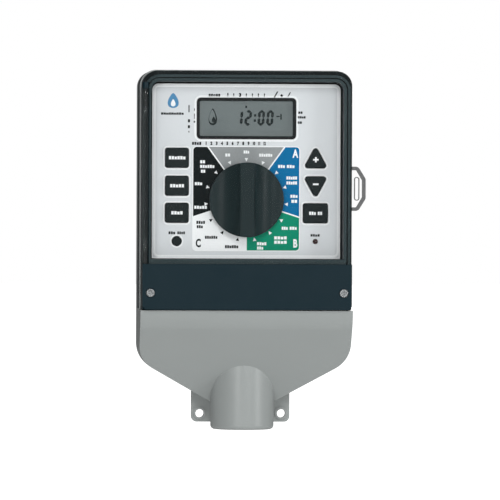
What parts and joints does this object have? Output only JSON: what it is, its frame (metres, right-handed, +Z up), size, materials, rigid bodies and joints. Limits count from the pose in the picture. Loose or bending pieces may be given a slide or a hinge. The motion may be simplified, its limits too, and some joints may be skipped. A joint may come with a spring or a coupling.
{
  "type": "irrigation controller",
  "caption": "Wall-mounted irrigation controller: grey housing with a conduit neck, dark front cover, clear hinged door, and a panel with a selector dial, push keys and a display.",
  "frame": {"origin": "middle of the housing's flat back face, on the wall plane, at mid-height", "axes": "+Z up along the height, +Y into the wall, so the front faces -Y; +X to the right seen from the front"},
  "size_m": [0.1441, 0.0764, 0.2328],
  "materials": {
    "housing_plastic": "fine moulded texture",
    "cover_plastic": "fine moulded texture",
    "panel_plastic": "satin",
    "printed_film": "satin printed film",
    "black_plastic": "satin",
    "key_plastic": "satin",
    "dial_plastic": "fine moulded texture",
    "switch_plastic": "satin",
    "white_plastic": "satin",
    "clear_plastic": "clear, polished",
    "clear_lens": "clear, polished",
    "display_glass": "reflective display",
    "contact_rubber": "matte",
    "seal_rubber": "matte",
    "lamp_red": "translucent",
    "circuit_board": "solder mask",
    "terminal_green": "satin",
    "ribbon_grey": "matte",
    "lead_red": "matte",
    "bright_steel": "zinc plated",
    "brass": "machined",
    "core_steel": "varnished laminations",
    "coil_tape": "winding tape"
  },
  "bodies": {
    "case": {"back_housing": "housing_plastic", "insert_nuts": "brass", "cover_gasket": "seal_rubber", "front_cover": "cover_plastic", "cover_screws": "bright_steel", "hinge_pins": "bright_steel", "faceplate": "panel_plastic", "panel_film": "printed_film", "panel_screws": "bright_steel", "lcd_bezel": "black_plastic", "lcd_window": "clear_lens", "lcd_glass": "display_glass", "lcd_holder": "white_plastic", "lcd_contacts": "contact_rubber", "main_board": "circuit_board", "board_screws": "bright_steel", "board_chips": "black_plastic", "output_triacs": "black_plastic", "battery_holder": "black_plastic", "backup_battery": "bright_steel", "fuse": "clear_lens", "fuse_clips": "brass", "key_switches": "black_plastic", "lamp_led": "white_plastic", "lamp_lens": "lamp_red", "switch_body": "switch_plastic", "switch_nut": "bright_steel", "ribbon_cable": "ribbon_grey", "ribbon_plugs": "black_plastic", "terminal_board": "circuit_board", "terminal_board_screws": "bright_steel", "terminal_block": "terminal_green", "terminal_screws": "bright_steel", "transformer_core": "core_steel", "transformer_coil": "coil_tape", "transformer_bracket": "bright_steel", "transformer_screws": "bright_steel", "power_leads": "lead_red"},
    "door": {"door": "clear_plastic"},
    "dial": {"dial_knob": "dial_plastic", "switch_shaft": "bright_steel", "knob_screw": "bright_steel"},
    "key_left_top": {"key_left_top": "key_plastic"},
    "key_left_middle": {"key_left_middle": "key_plastic"},
    "key_left_bottom": {"key_left_bottom": "key_plastic"},
    "key_plus": {"key_plus": "key_plastic"},
    "key_minus": {"key_minus": "key_plastic"},
    "key_enter": {"key_enter": "key_plastic"},
    "key_round": {"key_round": "key_plastic"}
  },
  "joints": [
    {"name": "door_hinge", "type": "hinge", "parent": "case", "child": "door", "pos_m": [-0.0656, -0.0736, 0.05], "axis": [0, 0, -1], "range_deg": [0, 170]},
    {"name": "dial_turn", "type": "hinge", "parent": "case", "child": "dial", "pos_m": [0, -0.065, 0.0327], "axis": [0, -1, 0], "continuous": true},
    {"name": "key_left_top_press", "type": "slide", "parent": "case", "child": "key_left_top", "axis": [0, 1, 0], "range_m": [0, 0.0008], "stiffness_N_per_m": 400},
    {"name": "key_left_middle_press", "type": "slide", "parent": "case", "child": "key_left_middle", "axis": [0, 1, 0], "range_m": [0, 0.0008], "stiffness_N_per_m": 400},
    {"name": "key_left_bottom_press", "type": "slide", "parent": "case", "child": "key_left_bottom", "axis": [0, 1, 0], "range_m": [0, 0.0008], "stiffness_N_per_m": 400},
    {"name": "key_plus_press", "type": "slide", "parent": "case", "child": "key_plus", "axis": [0, 1, 0], "range_m": [0, 0.0008], "stiffness_N_per_m": 400},
    {"name": "key_minus_press", "type": "slide", "parent": "case", "child": "key_minus", "axis": [0, 1, 0], "range_m": [0, 0.0008], "stiffness_N_per_m": 400},
    {"name": "key_enter_press", "type": "slide", "parent": "case", "child": "key_enter", "axis": [0, 1, 0], "range_m": [0, 0.0008], "stiffness_N_per_m": 400},
    {"name": "key_round_press", "type": "slide", "parent": "case", "child": "key_round", "axis": [0, 1, 0], "range_m": [0, 0.0008], "stiffness_N_per_m": 400}
  ]
}
